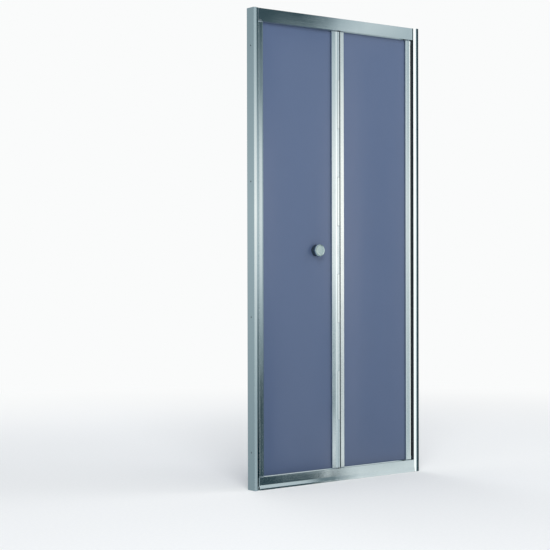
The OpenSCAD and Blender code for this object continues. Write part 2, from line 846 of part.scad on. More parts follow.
outer_leg_w = stile_w - pocket_depth - 2 * stile_t - 2 * key_play;
fold_leg_w = fold_chamber[0] - 2 * key_play;
lesser_leg_w = fold_lesser_w - pocket_depth - 2 * stile_t - 2 * key_play;
lead_screw_x = fold_overlap - stile_t - fold_chamber[0] / 2;
lesser_screw_x = fold_gap + (fold_lesser_w - pocket_depth) / 2;

// The top and bottom keys of one stile
module key_pair(w, r, drop, leg_w, hole_x, hole_r) {
    translate([0, 0, leaf_bottom])
        corner_key(w, r, drop, leaf_foot_h, leaf_foot_h, leg_w, hole_x, hole_r);
    translate([0, 0, leaf_top]) mirror([0, 0, 1])
        corner_key(w, r, drop, leaf_head_h, leaf_head_h + key_drop, leg_w, hole_x, hole_r);
}

module pivot_leaf_corner_keys() {
    color(light_plastic) from_front() difference() {
        union() {
            translate([stile_x, leaf_inset, 0]) mirror([1, 0, 0])
                key_pair(stile_w, stile_edge_r, stile_bead_drop, outer_leg_w, axis_inset,
                    pivot_pin_r);
            translate([fold_gap, leaf_inset, 0])
                key_pair(fold_lesser_w, lesser_edge_r, 0, lesser_leg_w, 0, 0);
        }
        key_screw_hole(axis_x);
        key_screw_hole(lesser_screw_x);
    }
}

module leading_leaf_corner_keys() {
    color(light_plastic) from_front() difference() {
        union() {
            translate([-stile_x, leaf_inset, 0])
                key_pair(stile_w, stile_edge_r, stile_bead_drop, outer_leg_w, axis_inset,
                    guide_pin_r);
            translate([fold_overlap, leaf_inset, 0]) mirror([1, 0, 0])
                key_pair(fold_stile_w + fold_overlap, fold_edge_r, 0, fold_leg_w, 0, 0);
        }
        key_screw_hole(-axis_x);
        key_screw_hole(lead_screw_x);
    }
}

// Screws through the back of the stiles into the corner keys
module key_screws(xs) {
    back = leaf_inset + leaf_t;
    for (x = xs, z = [stile_low + key_screw_drop, stile_high - key_screw_drop]) {
        rod_back(x, back - key_screw_l, z, screw_r, key_screw_l);
        rod_back(x, back, z, screw_head_r, screw_head_h / 2);
    }
}

module pivot_leaf_key_screws() {
    color(steel) from_front() key_screws([axis_x, lesser_screw_x]);
}

module leading_leaf_key_screws() {
    color(steel) from_front() key_screws([-axis_x, lead_screw_x]);
}

// Pivot pins, fixed in the keys, turning in the bushes
module top_pivot_pin() {
    color(steel) from_front() translate([axis_x, axis_d, leaf_top - pin_in_leaf])
        cylinder(r = pivot_pin_r, h = pin_in_leaf + track_high - leaf_top + pin_in_block);
}

module bottom_pivot_pin() {
    pin_end = deck_h - pin_in_block;
    color(steel) from_front() translate([axis_x, axis_d, pin_end])
        cylinder(r = pivot_pin_r, h = leaf_bottom + pin_in_leaf - pin_end);
}

// Nut on the bottom pivot pin that carries the leaf and sets its height
module height_nut() {
    z0 = deck_h + flange_h + nut_play;
    h = leaf_bottom - z0 - nut_play;
    color(steel) from_front() translate([axis_x, axis_d, z0]) difference() {
        cylinder(r = bush_flange_r, h = h, $fn = 6);
        translate([0, 0, -cut]) cylinder(r = pivot_pin_r + held_play, h = h + 2 * cut);
    }
}

// Guide pins of the leading leaf
module top_guide_pin() {
    color(steel) from_front() translate([-axis_x, axis_d, leaf_top - guide_in_leaf])
        cylinder(r = guide_pin_r, h = guide_in_leaf + shoe_high + shoe_h - 1 - leaf_top);
}

module bottom_guide_pin() {
    color(steel) from_front() translate([-axis_x, axis_d, shoe_low + 1])
        cylinder(r = guide_pin_r, h = leaf_bottom + guide_in_leaf - shoe_low - 1);
}

// Guide shoe that slides along a track and turns on its pin, underside at z0
module guide_shoe(z0) {
    end_r = shoe_w / 2;
    color(light_plastic) from_front() translate([-axis_x, axis_d, z0]) difference() {
        translate([-shoe_nose, 0, 0]) union() {
            translate([end_r, -end_r, 0]) cube([shoe_l - 2 * end_r, shoe_w, shoe_h]);
            for (x = [end_r, shoe_l - end_r]) translate([x, 0, 0]) cylinder(r = end_r, h = shoe_h);
        }
        translate([0, 0, -cut]) cylinder(r = guide_pin_r + pin_play, h = shoe_h + 2 * cut);
    }
}

module top_guide_shoe() {
    guide_shoe(shoe_high);
}

module bottom_guide_shoe() {
    guide_shoe(shoe_low);
}

// Drip seal under a leaf, near its back
module drip_seal(x0, x1) {
    drip_d = axis_d + track_w / 2 - drip_t;
    along_x(x0, x1) translate([drip_d, leaf_bottom - drip_h]) {
        translate([0, drip_t / 2]) square([drip_t, drip_h - drip_t / 2]);
        translate([drip_t / 2, drip_t / 2]) circle(drip_t / 2);
    }
}

module pivot_leaf_drip_seal() {
    color(clear_seal) from_front() drip_seal(fold_gap, axis_x - bush_flange_r - 2);
}

module leading_leaf_drip_seal() {
    color(clear_seal) from_front() drip_seal(-stile_x + stile_edge_r, fold_overlap);
}

// Rubber strip in the corner between the hinge arm and the narrow hinge stile
module fold_wiper() {
    front = fold_front + wiper_sink;
    step = arm_end - arm_start;
    left = arm_start[0] + step[0] * (front - arm_start[1]) / step[1];
    color(dark_rubber) from_front() along_z(stile_low, stile_high) translate([0, fold_d])
        polygon([
            [left + 3 * held_play, front], [arm_end[0] - held_play, front],
            [arm_end[0] - held_play, arm_end[1] - 2 * held_play]
        ]);
}

// Bulb seal between the leaves, behind the hinge
module fold_seal() {
    bulb_r = (fold_gap - seal_face_gap - fold_overlap) * 0.36;
    bulb_x = fold_gap - seal_face_gap - bulb_r;
    color(dark_rubber) from_front() along_z(leaf_bottom, leaf_top) {
        translate([fold_overlap, axis_d - bulb_r / 2]) square([bulb_x - fold_overlap, bulb_r]);
        translate([bulb_x, axis_d]) circle(bulb_r);
    }
}

module fold_pin() {
    color(steel) from_front() translate([0, fold_d, knuckle_low])
        cylinder(r = fold_pin_r, h = knuckle_high - knuckle_low);
}

// Washers between the knuckles
module fold_washers() {
    color(light_plastic) from_front() for (i = [1 : knuckle_n - 1])
        translate([0, fold_d, knuckle_z(i) - knuckle_gap / 2 - washer_t / 2]) difference() {
            cylinder(r = washer_r, h = washer_t);
            translate([0, 0, -cut]) cylinder(r = fold_pin_r + held_play, h = washer_t + 2 * cut);
        }
}

// Turned knob along +z from its foot: neck, flared head, raised rim round a flat face
module knob(r, stand) {
    head_t = stand * 0.42;
    difference() {
        rotate_extrude() union() {
            square([knob_neck_r, stand - knob_rim]);
            translate([0, stand - head_t]) square([r, head_t - knob_rim]);
            translate([0, stand - knob_rim]) square([r - knob_rim, knob_rim - 1]);
            translate([r - knob_rim, stand - knob_rim]) circle(knob_rim);
            polygon([
                [0, 0], [knob_neck_r + knob_foot_w, 0], [knob_neck_r + knob_foot_w, knob_foot_h],
                [knob_neck_r, knob_foot_rise], [0, knob_foot_rise]
            ]);
        }
        translate([0, 0, -cut]) cylinder(r = stud_r + held_play, h = knob_bore_l + cut);
    }
}

module knob_outer() {
    color(aluminium) from_front() translate([knob_x, glass_front - knob_washer_t, knob_z])
        rotate([90, 0, 0]) knob(knob_r, knob_stand - knob_washer_t);
}

module knob_inner() {
    color(aluminium) from_front() translate([knob_x, glass_back + knob_washer_t, knob_z])
        rotate([-90, 0, 0]) knob(inner_knob_r, inner_knob_stand - knob_washer_t);
}

module knob_stud() {
    reach = knob_bore_l - 1 + knob_washer_t;
    color(steel) from_front()
        rod_back(knob_x, glass_front - reach, knob_z, stud_r, glass_t + 2 * reach);
}

// Sleeve that keeps the stud off the glass
module knob_sleeve() {
    color(light_plastic) from_front() difference() {
        rod_back(knob_x, glass_front, knob_z, glass_hole_r - held_play, glass_t);
        rod_back(knob_x, glass_front - cut, knob_z, stud_r + held_play, glass_t + 2 * cut);
    }
}

// Soft washers between the glass and both knobs
module knob_washers() {
    color(dark_rubber) from_front() for (d = [glass_front - knob_washer_t, glass_back])
        difference() {
            rod_back(knob_x, d, knob_z, knob_washer_r, knob_washer_t);
            rod_back(knob_x, d - cut, knob_z, stud_r + held_play, knob_washer_t + 2 * cut);
        }
}

wall_profile_left();
wall_profile_right();
jamb_left();
jamb_right();
head_rail();
head_track();
sill();
sill_track();
jamb_top_plugs();
frame_screws();
jamb_screws();
screw_caps();
top_pivot_block();
bottom_pivot_block();
pivot_bushes();
pivot_block_screws();
jamb_magnet_strip();
jamb_seal();
pivot_stile();
pivot_leaf_hinge_stile();
pivot_leaf_top_rail();
pivot_leaf_bottom_rail();
pivot_leaf_glass();
pivot_leaf_gaskets();
pivot_leaf_corner_keys();
pivot_leaf_key_screws();
top_pivot_pin();
bottom_pivot_pin();
height_nut();
pivot_leaf_drip_seal();
fold_wiper();
closing_stile();
leading_leaf_hinge_stile();
leading_leaf_top_rail();
leading_leaf_bottom_rail();
leading_leaf_glass();
leading_leaf_gaskets();
leading_leaf_corner_keys();
leading_leaf_key_screws();
top_guide_pin();
bottom_guide_pin();
leaf_magnet_strip();
leading_leaf_drip_seal();
fold_seal();
fold_pin();
fold_washers();
knob_outer();
knob_inner();
knob_stud();
knob_sleeve();
knob_washers();
top_guide_shoe();
bottom_guide_shoe();
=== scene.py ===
"""Framed folding shower door: finishes, small details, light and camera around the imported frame.

Places are in metres, in the row frame: +X towards the pivots, +Y into the shower, +Z up.
Outlines of small pieces are in millimetres, and levels of light are screen values up to 255.
"""
import json
import math

import bmesh
import bpy
from mathutils import Matrix, Vector


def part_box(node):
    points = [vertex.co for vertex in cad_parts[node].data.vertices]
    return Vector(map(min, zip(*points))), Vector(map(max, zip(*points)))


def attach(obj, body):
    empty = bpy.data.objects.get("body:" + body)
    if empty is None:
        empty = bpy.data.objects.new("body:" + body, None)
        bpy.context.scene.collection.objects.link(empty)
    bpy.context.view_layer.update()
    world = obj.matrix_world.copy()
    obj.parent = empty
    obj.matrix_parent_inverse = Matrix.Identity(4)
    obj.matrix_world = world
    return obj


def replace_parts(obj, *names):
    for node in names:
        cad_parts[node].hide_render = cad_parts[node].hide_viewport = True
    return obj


MM = 0.001

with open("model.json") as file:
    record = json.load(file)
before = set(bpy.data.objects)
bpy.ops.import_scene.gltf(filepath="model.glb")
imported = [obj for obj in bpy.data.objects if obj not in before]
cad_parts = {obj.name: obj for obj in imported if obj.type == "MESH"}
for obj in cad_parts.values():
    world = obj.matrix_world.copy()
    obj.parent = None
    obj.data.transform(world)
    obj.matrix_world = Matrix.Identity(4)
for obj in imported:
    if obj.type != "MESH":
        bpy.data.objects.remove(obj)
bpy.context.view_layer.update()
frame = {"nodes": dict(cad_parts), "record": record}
NODES = frame["nodes"]
scene = bpy.context.scene
scene.view_settings.view_transform = "Standard"

# Camera

# Its place, turns and lens were fitted to the corners of the door's frame in the photograph
CAMERA_PLACE = (-3.7104, -4.3804, 0.8685)
CAMERA_YAW, CAMERA_PITCH, CAMERA_ROLL = 37.792, -0.441, -0.126
CAMERA_LENS, CAMERA_SENSOR = 93.51, 36.0
CAMERA_NEAR, CAMERA_FAR = 0.05, 100


def add_camera():
    """Yaw turns the view from +Y towards +X, in degrees. Pitch lifts it and roll tips it."""
    yaw, pitch, roll = (math.radians(a) for a in (CAMERA_YAW, CAMERA_PITCH, CAMERA_ROLL))
    ahead = Vector((math.sin(yaw) * math.cos(pitch), math.cos(yaw) * math.cos(pitch),
                    math.sin(pitch)))
    level = Vector((math.cos(yaw), -math.sin(yaw), 0))
    upward = level.cross(ahead)
    right = level * math.cos(roll) + upward * math.sin(roll)
    up = upward * math.cos(roll) - level * math.sin(roll)
    data = bpy.data.cameras.new("camera")
    data.lens, data.sensor_width = CAMERA_LENS, CAMERA_SENSOR
    data.clip_start, data.clip_end = CAMERA_NEAR, CAMERA_FAR
    camera = bpy.data.objects.new("camera", data)
    turn = Matrix((right, up, -ahead)).transposed().to_4x4()
    camera.matrix_world = Matrix.Translation(CAMERA_PLACE) @ turn
    scene.collection.objects.link(camera)
    scene.camera = camera


# Shader nodes

class Shader:
    """Builds one node tree, a call per node."""

    def __init__(self, tree):
        self.nodes, self.links = tree.nodes, tree.links
        self.nodes.clear()

    def plug(self, value, socket):
        """Links an output to the socket, or sets a plain value on it."""
        if isinstance(value, bpy.types.NodeSocket):
            self.links.new(value, socket)
        else:
            socket.default_value = value

    def add(self, kind, inputs=None, **settings):
        node = self.nodes.new("ShaderNode" + kind)
        for name, value in settings.items():
            setattr(node, name, value)
        for name, value in (inputs or {}).items():
            self.plug(value, node.inputs[name])
        return node

    def math(self, operation, a, b=0.0, clamp=False):
        return self.add("Math", {0: a, 1: b}, operation=operation, use_clamp=clamp).outputs[0]

    def spread(self, value, low, high, to_low, to_high, smooth=False):
        """Maps low to to_low and high to to_high, and holds both ends beyond them."""
        node = self.add("MapRange", {"Value": value, "From Min": low, "From Max": high,
                                     "To Min": to_low, "To Max": to_high})
        if smooth:
            node.interpolation_type = "SMOOTHSTEP"
        return node.outputs["Result"]

    def ramp(self, value, low, high, stops):
        """Colour that passes through (value, colour) stops."""
        node = self.add("ValToRGB", {0: self.spread(value, low, high, 0.0, 1.0)})
        points = node.color_ramp.elements
        for i, (at, colour) in enumerate(stops):
            point = points[i] if i < 2 else points.new(1.0)
            point.position, point.color = (at - low) / (high - low), colour
        return node.outputs["Color"]

    def blend(self, share, a, b):
        """Colour a where share is 0 and colour b where it is 1."""
        node = self.add("Mix", data_type="RGBA")
        for name, value in (("Factor_Float", share), ("A_Color", a), ("B_Color", b)):
            socket = next(s for s in node.inputs if s.identifier == name)
            self.plug(value, socket)
        return next(s for s in node.outputs if s.identifier == "Result_Color")

    def place(self, scale):
        coords = self.add("TexCoord").outputs["Object"]
        return self.add("Mapping", {"Vector": coords, "Scale": scale}).outputs["Vector"]

    def noise(self, scale, size=1.0, *, detail, rough=0.55):
        """Noise with size waves per metre, times scale along each axis."""
        return self.add("TexNoise", {"Vector": self.place(scale), "Scale": size, "Detail": detail,
                                     "Roughness": rough}).outputs["Fac"]

    def bevel(self, radius, samples):
        return self.add("Bevel", {"Radius": radius}, samples=samples).outputs["Normal"]

    def bump(self, height, strength, distance, normal=None):
        inputs = {"Height": height, "Strength": strength, "Distance": distance}
        if normal is not None:
            inputs["Normal"] = normal
        return self.add("Bump", inputs).outputs["Normal"]


def rgb(r, g, b):
    """Linear colour of a screen colour given from 0 to 255."""
    def line(v):
        v /= 255
        return v / 12.92 if v <= 0.04045 else ((v + 0.055) / 1.055) ** 2.4
    return (line(r), line(g), line(b), 1.0)


def material(name, colour, build, **constants):
    """A principled material. build(shader, principled) adds what varies over the surface."""
    made = bpy.data.materials.new(name)
    made.use_nodes = True
    made.diffuse_color = colour
    shader = Shader(made.node_tree)
    surface = shader.add("BsdfPrincipled", {"Base Color": colour, **constants})
    output = shader.add("OutputMaterial")
    shader.links.new(surface.outputs["BSDF"], output.inputs["Surface"])
    build(shader, surface)
    return made


# Finishes

# Noise lies mostly between these two values, which are spread over a wanted range
NOISE_LOW, NOISE_HIGH = 0.3, 0.7
# Scale of noise that is the same along all axes
EVEN = (1, 1, 1)
# Waves per metre of the drawn lines, across and along the profile, and of the wiped marks
LINES_ACROSS, LINES_ALONG = 900, 6
MARKS = (9, 9, 5)
# How much of the metal's tone the lines make up, and how much the marks
LINES_SHARE, MARKS_SHARE = 0.7, 0.3
# Waves of the broad tint for each wave of the grain
BROAD = 0.04
# Scales along X, Y and Z of what the glass shows: its unevenness, a film that runs down it and
# the dried drops
HAZE, FILM, DROPS = (1.2, 1.2, 0.5), (1, 1, 0.35), (1, 1, 0.8)
HAZE_PER_METRE, FILM_PER_METRE, DROPS_PER_METRE = 1.6, 14, 210.0
# How much rougher the wiped marks make the metal, and the dried drops the glass
WIPED_ROUGH, DRIED_ROUGH = 0.03, 0.12
# Lowest and highest roughness of the bright aluminium
POLISHED = (0.03, 0.06)


def tinted(shader, surface, colour, share, amount):
    """Varies the base colour by amount, darker where share is low."""
    dark = tuple(c * (1 - amount) for c in colour[:3]) + (1.0,)
    shader.plug(shader.blend(share, dark, colour), surface.inputs["Base Color"])


def drawn_metal(name, colour, along, rough=POLISHED, streak=0.04, edge=0.0007):
    """Bright drawn profile: fine lines along its length, faint wiped marks, soft edges."""
    stretch = tuple(LINES_ALONG if axis == along else LINES_ACROSS for axis in "xyz")

    def build(shader, surface):
        lines = shader.noise(stretch, detail=2)
        marks = shader.noise(MARKS, detail=5, rough=0.62)
        wiped = shader.spread(marks, 0.35, NOISE_HIGH, 0.0, 1.0, smooth=True)
        shader.plug(shader.math("ADD", shader.spread(lines, NOISE_LOW, NOISE_HIGH, *rough),
                                shader.math("MULTIPLY", wiped, WIPED_ROUGH)),
                    surface.inputs["Roughness"])
        tone = shader.math("ADD", shader.math("MULTIPLY", lines, LINES_SHARE),
                           shader.math("MULTIPLY", marks, MARKS_SHARE))
        tinted(shader, surface, colour, tone, amount=0.08)
        soft = shader.bevel(edge, samples=6)
        lined = shader.bump(lines, streak, distance=0.0001, normal=soft)
        shader.plug(lined, surface.inputs["Normal"])
    return material(name, colour, build, Metallic=1.0)


def speckled(name, colour, size, rough, grain, edge=0.0005, **constants):
    """A fine grain of size waves per metre with soft edges: plastic, rubber or plated metal."""
    def build(shader, surface):
        fine = shader.noise(EVEN, size, detail=4)
        broad = shader.noise(EVEN, size * BROAD, detail=3)
        shader.plug(shader.spread(fine, NOISE_LOW, NOISE_HIGH, *rough),
                    surface.inputs["Roughness"])
        tinted(shader, surface, colour, broad, amount=0.16)
        soft = shader.bevel(edge, samples=4)
        grained = shader.bump(fine, grain, distance=0.0002, normal=soft)
        shader.plug(grained, surface.inputs["Normal"])
    return material(name, colour, build, **constants)


def tinted_glass(name, colour):
    """Bluish glass: a little uneven, with faint dried drops."""
    def build(shader, surface):
        haze = shader.noise(HAZE, HAZE_PER_METRE, detail=2)
        film = shader.noise(FILM, FILM_PER_METRE, detail=6, rough=0.7)
        drops = shader.add("TexVoronoi", {"Vector": shader.place(DROPS),
                                          "Scale": DROPS_PER_METRE,
                                          "Randomness": 1.0}).outputs["Distance"]
        dried = shader.spread(drops, 0.0, 0.16, 1.0, 0.0, smooth=True)
        dried = shader.math("MULTIPLY", dried, shader.spread(film, 0.52, 0.72, 0.0, 1.0))
        tinted(shader, surface, colour, haze, amount=0.12)
        rough = shader.math("ADD", shader.spread(film, NOISE_LOW, 0.75, 0.03, 0.09),
                            shader.math("MULTIPLY", dried, DRIED_ROUGH))
        shader.plug(rough, surface.inputs["Roughness"])
        wavy = shader.bump(haze, strength=0.05, distance=0.002)
        shader.plug(wavy, surface.inputs["Normal"])
    return material(name, colour, build, IOR=1.5, **{"Transmission Weight": 0.2})


SILVER = (0.72, 0.81, 0.84, 1.0)
# A paler copy of SILVER: painted highlight that makes the pivot leaf's hinge stile brighter
SHEEN_SILVER = (0.86, 0.93, 0.94, 1.0)
# A dark dull copy of the bright metal: painted shadow that the head rail casts on the leading
# leaf's top rail
SHADED_PEWTER = (0.31, 0.39, 0.48, 1.0)
CHROME = (0.58, 0.71, 0.71, 1.0)
STEEL = (0.58, 0.60, 0.62, 1.0)
# Dark colour of the knob's grip: painted shade and a painted dark reflection under the cap
SHADED_GRIP = rgb(40, 56, 72)
GLASS = rgb(99, 116, 149)
PLASTIC = rgb(150, 168, 178)
SEAL = rgb(150, 162, 172)
# Dark rubber of the seal, also used for a strip of painted shade in the jamb's reveal
RUBBER_AND_SHADE = rgb(21, 31, 39)
GREY_RUBBER = rgb(76, 92, 101)

FINISHES = {
    "upright": drawn_metal("bright_profile_upright", SILVER, "z"),
    # Painted highlight: the pivot leaf's hinge stile made brighter than the other profiles
    "sheen_upright": drawn_metal("painted_sheen_profile_upright", SHEEN_SILVER, "z"),
    "level": drawn_metal("bright_profile_level", SILVER, "x"),
    "thin_level": drawn_metal("bright_lip_level", SILVER, "x", edge=0.0001),
    # Painted shade: the leading leaf's top rail darkened as if in the head rail's shadow
    "shaded_pewter": drawn_metal("shaded_profile_level", SHADED_PEWTER, "x", rough=(0.12, 0.2), streak=0.05),
    # Painted shade and dark reflection: the knob's grip is dark under the bright cap
    "grip": speckled("grip_painted_shade", SHADED_GRIP, 900, rough=(0.3, 0.42), grain=0.12),
    "knob": speckled("polished_knob", CHROME, 700, rough=(0.07, 0.13), grain=0.03, edge=0.0009,
                     Metallic=1.0),
    "light_plastic": speckled("light_plastic", PLASTIC, 900, rough=(0.34, 0.5), grain=0.15),
    "clear_seal": speckled("milky_seal", SEAL, 600, rough=(0.3, 0.45), grain=0.1),
    # Real dark rubber, and painted shade on the strip in the jamb's reveal
    "dark_rubber": speckled("dark_rubber", RUBBER_AND_SHADE, 1100, rough=(0.5, 0.7), grain=0.25),
    "grey_rubber": speckled("grey_rubber", GREY_RUBBER, 1100, rough=(0.5, 0.7), grain=0.25),
    "steel": speckled("plated_steel", STEEL, 1300, rough=(0.2, 0.34), grain=0.12, Metallic=1.0),
    "glass": tinted_glass("tinted_glass", GLASS),
}
# Profiles that lie level are drawn along X, and all others along Z
LEVEL_ENDINGS = ("rail", "track", "sill")
# Profiles with other copies of the bright metal: a paler one, painted highlight on the pivot
# leaf's hinge stile, and a dark dull one, painted shadow of the head rail on the leading leaf's
# top rail
SPECIAL = {"pivot_leaf_hinge_stile": "sheen_upright", "leading_leaf_top_rail": "shaded_pewter"}


def finish_nodes():
    """Gives each CAD node the finish of its slot in the record."""
    for part in frame["record"]["subparts"]:
        name, finish = part["node"], part["material_slot"]
        if finish == "profile":
            finish = "level" if name.endswith(LEVEL_ENDINGS) else "upright"
        materials = NODES[name].data.materials
        materials.clear()
        materials.append(FINISHES[SPECIAL.get(name, finish)])


# Small pieces

# Edges that turn by more than this many degrees stay sharp on a smooth piece
SHARP_ANGLE = 35


def shell(name, rings, finishes, strips, body, smooth=False):
    """A closed mesh from rings of points, with the index of a finish for each strip of faces."""
    mesh = bmesh.new()
    rows = [[mesh.verts.new(point) for point in ring] for ring in rings]
    for near, far, index in zip(rows, rows[1:], strips):
        for j in range(len(near)):
            k = (j + 1) % len(near)
            face = mesh.faces.new((near[j], near[k], far[k], far[j]))
            face.material_index = index
    for row, index in ((rows[0], strips[0]), (rows[-1], strips[-1])):
        mesh.faces.new(row).material_index = index
    bmesh.ops.recalc_face_normals(mesh, faces=mesh.faces)
    data = bpy.data.meshes.new(name)
    mesh.to_mesh(data)
    mesh.free()
    piece = bpy.data.objects.new(name, data)
    scene.collection.objects.link(piece)
    for finish in finishes:
        data.materials.append(FINISHES[finish])
    if smooth:
        data.shade_smooth()
        data.set_sharp_from_angle(angle=math.radians(SHARP_ANGLE))
    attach(piece, body)
    return piece


def bar(name, rings, finish, body):
    """A straight piece between two outlines."""
    return shell(name, rings, (finish,), (0,), body)


def quarter(centre, radius, steps=8):
    """Points of a quarter circle about the centre, from 0 to 90 degrees."""
    turns = [math.radians(90 * i / steps) for i in range(steps + 1)]
    return [(centre[0] + radius * math.cos(t), centre[1] + radius * math.sin(t)) for t in turns]


KNOB_STEPS = 96
CAP_R, RIM_R = 24, 2.4
CAP_SIDE = (18, 24.6)
# Radius and distance from the back of the knob, both in millimetres: the grip, dark with
# painted shade and a painted dark reflection, from its foot to under the cap, and the bright cap,
# over its rounded rim to the middle of its face
GRIP_LINE = [(0.84, 0), (8.4, 0), (8.4, -0.9), (22.4, -0.9), (23.0, -0.4), (23.2, 0.8),
             (22.8, 2.4), (21.6, 4.6), (20.7, 8), (20.5, 11), (20.9, 14), (21.8, 16.6)]
CAP_LINE = [(22.6, 17.2), (23.5, 17.4)] + [(CAP_R, out) for out in CAP_SIDE]
CAP_LINE += quarter((CAP_R - RIM_R, CAP_SIDE[1]), RIM_R)[1:]
CAP_LINE += [(20.8, 26.95), (20.2, 26.7), (19.4, 26.62), (18.6, 26.6), (12, 26.57), (5, 26.55),
             (1, 26.55)]


def add_knob():
    """The outer knob: a waisted grip, dark with painted shade and a painted dark reflection, under
    a bright cap with a rounded rim.
    """
    low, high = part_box("knob_outer")
    centre_x, centre_z = (low[0] + high[0]) / 2, (low[2] + high[2]) / 2
    scale = (high[0] - low[0]) / (2 * CAP_R)
    turns = [2 * math.pi * i / KNOB_STEPS for i in range(KNOB_STEPS)]
    rings = [[(centre_x + r * scale * math.cos(t), high[1] - out * scale,
               centre_z + r * scale * math.sin(t)) for t in turns]
             for r, out in GRIP_LINE + CAP_LINE]
    strips = [0] * (len(GRIP_LINE) - 1) + [1] * len(CAP_LINE)
    knob = shell("knob_handle", rings, ("grip", "knob"), strips, "leading_leaf",
                 smooth=True)
    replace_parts(knob, "knob_outer")


# The seal in front of the pivot leaf, in millimetres: x from the jamb's face, and depth from
# the node's front
SEAL_LINE = [(0, -3.4), (-0.7, -3.4), (-1.1, -3.0), (-1.2, 0.4), (-3.5, 0.8), (-5.6, 1.7),
             (-7.1, 2.7), (-7.45, 3.1), (-7.5, 3.5), (-7.2, 3.9), (-5.4, 3.9), (-3, 3.8),
             (-1.2, 3.9), (-1.2, 4), (0, 4)]
# A dark strip along the jamb's side in the reveal, in the same millimetres: painted shade
REVEAL_SHADE_LINE = [(0, 4.1), (-1.1, 4.1), (-1.1, 19.6), (-0.7, 20), (0, 20)]
# How far the dark strip of painted shade ends above the lip's foot, and below its top, in
# millimetres
REVEAL_SHADE_FOOT, REVEAL_SHADE_HEAD = 12, 20


def add_jamb_seal():
    """The seal's tapered lip with its foot on the jamb, and behind it a dark strip over the jamb's
    side, painted shade of the reveal.
    """
    low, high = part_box("jamb_seal")

    def strip(name, line, ends):
        rings = [[(high[0] + x * MM, low[1] + depth * MM, z) for x, depth in line] for z in ends]
        return bar(name, rings, "dark_rubber", "frame")

    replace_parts(strip("jamb_seal_lip", SEAL_LINE, (low[2], high[2])), "jamb_seal")
    # Painted shade: a dark strip lines the reveal behind the seal
    strip("jamb_reveal_shade", REVEAL_SHADE_LINE,
          (low[2] + REVEAL_SHADE_FOOT * MM, high[2] - REVEAL_SHADE_HEAD * MM))


# The edge trim, in millimetres: distance from the stile's outer edge, and height over its face
TRIM_LINE = [(6.5, 0.02), (2.0, 0.98), (1.7, 1.04), (1.5, 0.98), (1.3, 0.02)]


def add_stile_trims():
    """A low ridge along the outer edge of both outer stiles, sloping like the jambs."""
    for node, body, side in (("closing_stile", "leading_leaf", -1),
                             ("pivot_stile", "pivot_leaf", 1)):
        low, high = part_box(node)
        edge = high[0] if side > 0 else low[0]
        rings = [[(edge - side * x * MM, low[1] - rise * MM, z) for x, rise in TRIM_LINE]
                 for z in (low[2], high[2])]
        bar(node + "_trim", rings, "upright", body)


# How far the lip hangs below the head rail, and how far it ends short of the rail's left end,
# where the leading leaf's corner key shows, both in millimetres
LIP_DROP, LIP_GAP = 5.5, 18
# How high the slant is at the lip's lower edges, in millimetres
LIP_EDGE = 0.04
# The lip in millimetres: depth from the head rail's face, which it overlaps a little, and
# height over the rail's lower edge
LIP_LINE = [(-0.03, 1.2), (-0.03, LIP_EDGE - LIP_DROP), (0.01, -LIP_DROP), (1.56, -LIP_DROP),
            (1.6, LIP_EDGE - LIP_DROP), (1.6, -0.1), (1.5, 0), (1.5, 1.2)]
# A gasket in millimetres: distance from the rail's end, and depth from the rail's face
GASKET_LINE = [(0, 0), (0, -0.25), (0.25, -0.45), (3.25, -0.45), (3.5, -0.25), (3.5, 0)]


def add_head_trims():
    """The head rail's lower lip, and the thin gaskets at its two ends."""
    low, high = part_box("head_rail")
    rings = [[(x, low[1] + depth * MM, low[2] + rise * MM) for depth, rise in LIP_LINE]
             for x in (low[0] + LIP_GAP * MM, high[0])]
    bar("head_rail_lip", rings, "thin_level", "frame")
    for name, edge, side, foot, finish in (
            ("left", low[0], 1, low[2], "grey_rubber"),
            ("right", high[0], -1, low[2] - LIP_DROP * MM, "dark_rubber")):
        rings = [[(edge + side * x * MM, low[1] + depth * MM, z) for x, depth in GASKET_LINE]
                 for z in (foot, high[2])]
        bar("head_end_gasket_" + name, rings, finish, "frame")


# Studio

BACKDROP = rgb(250, 251, 251)
FLOOR_GRAIN = (rgb(236, 238, 239), rgb(246, 247, 247))
FLOOR_RADIUS = 30
# The floor turns into the backdrop between these distances from the door
FLOOR_FADE = (1.6, 4.5)


def add_floor():
    """A pale disk under the door that turns into the backdrop further out."""
    bpy.ops.mesh.primitive_circle_add(vertices=96, radius=FLOOR_RADIUS, fill_type="NGON")
    floor = bpy.context.object
    floor.name = "floor"
    made = bpy.data.materials.new("pale_floor")
    made.use_nodes = True
    shader = Shader(made.node_tree)
    pale = shader.blend(shader.noise(EVEN, 90, detail=4), *FLOOR_GRAIN)
    cover = shader.add("BsdfDiffuse", {"Color": pale, "Roughness": 0.5}).outputs[0]
    glow = shader.add("Emission", {"Color": BACKDROP, "Strength": 1.0}).outputs[0]
    away = shader.add("VectorMath", {0: shader.place((1, 1, 0))}, operation="LENGTH")
    far = shader.spread(away.outputs["Value"], *FLOOR_FADE, 0.0, 1.0, smooth=True)
    mixed = shader.add("MixShader", {0: far, 1: cover, 2: glow})
    output = shader.add("OutputMaterial")
    shader.links.new(mixed.outputs[0], output.inputs["Surface"])
    floor.data.materials.append(made)
    floor.visible_glossy = False


# How far red, green and blue stand from the level of a screen, where it is pale and where it is
# dark, and the levels between which the one turns into the other
PALE_CAST, DARK_CAST = (-9, 0, -1), (-20, 0, 7)
PALE_LEVEL, DARK_LEVEL = 250, 180


def screen_light(level):
    """Light that SILVER mirrors as a grey of the given level, cooler where it is dark."""
    cool = min(1.0, max(0.0, (PALE_LEVEL - level) / (PALE_LEVEL - DARK_LEVEL)))
    seen = rgb(*(level + pale + (dark - pale) * cool for pale, dark in zip(PALE_CAST, DARK_CAST)))
    return tuple(c / tint for c, tint in zip(seen[:3], SILVER)) + (1.0,)


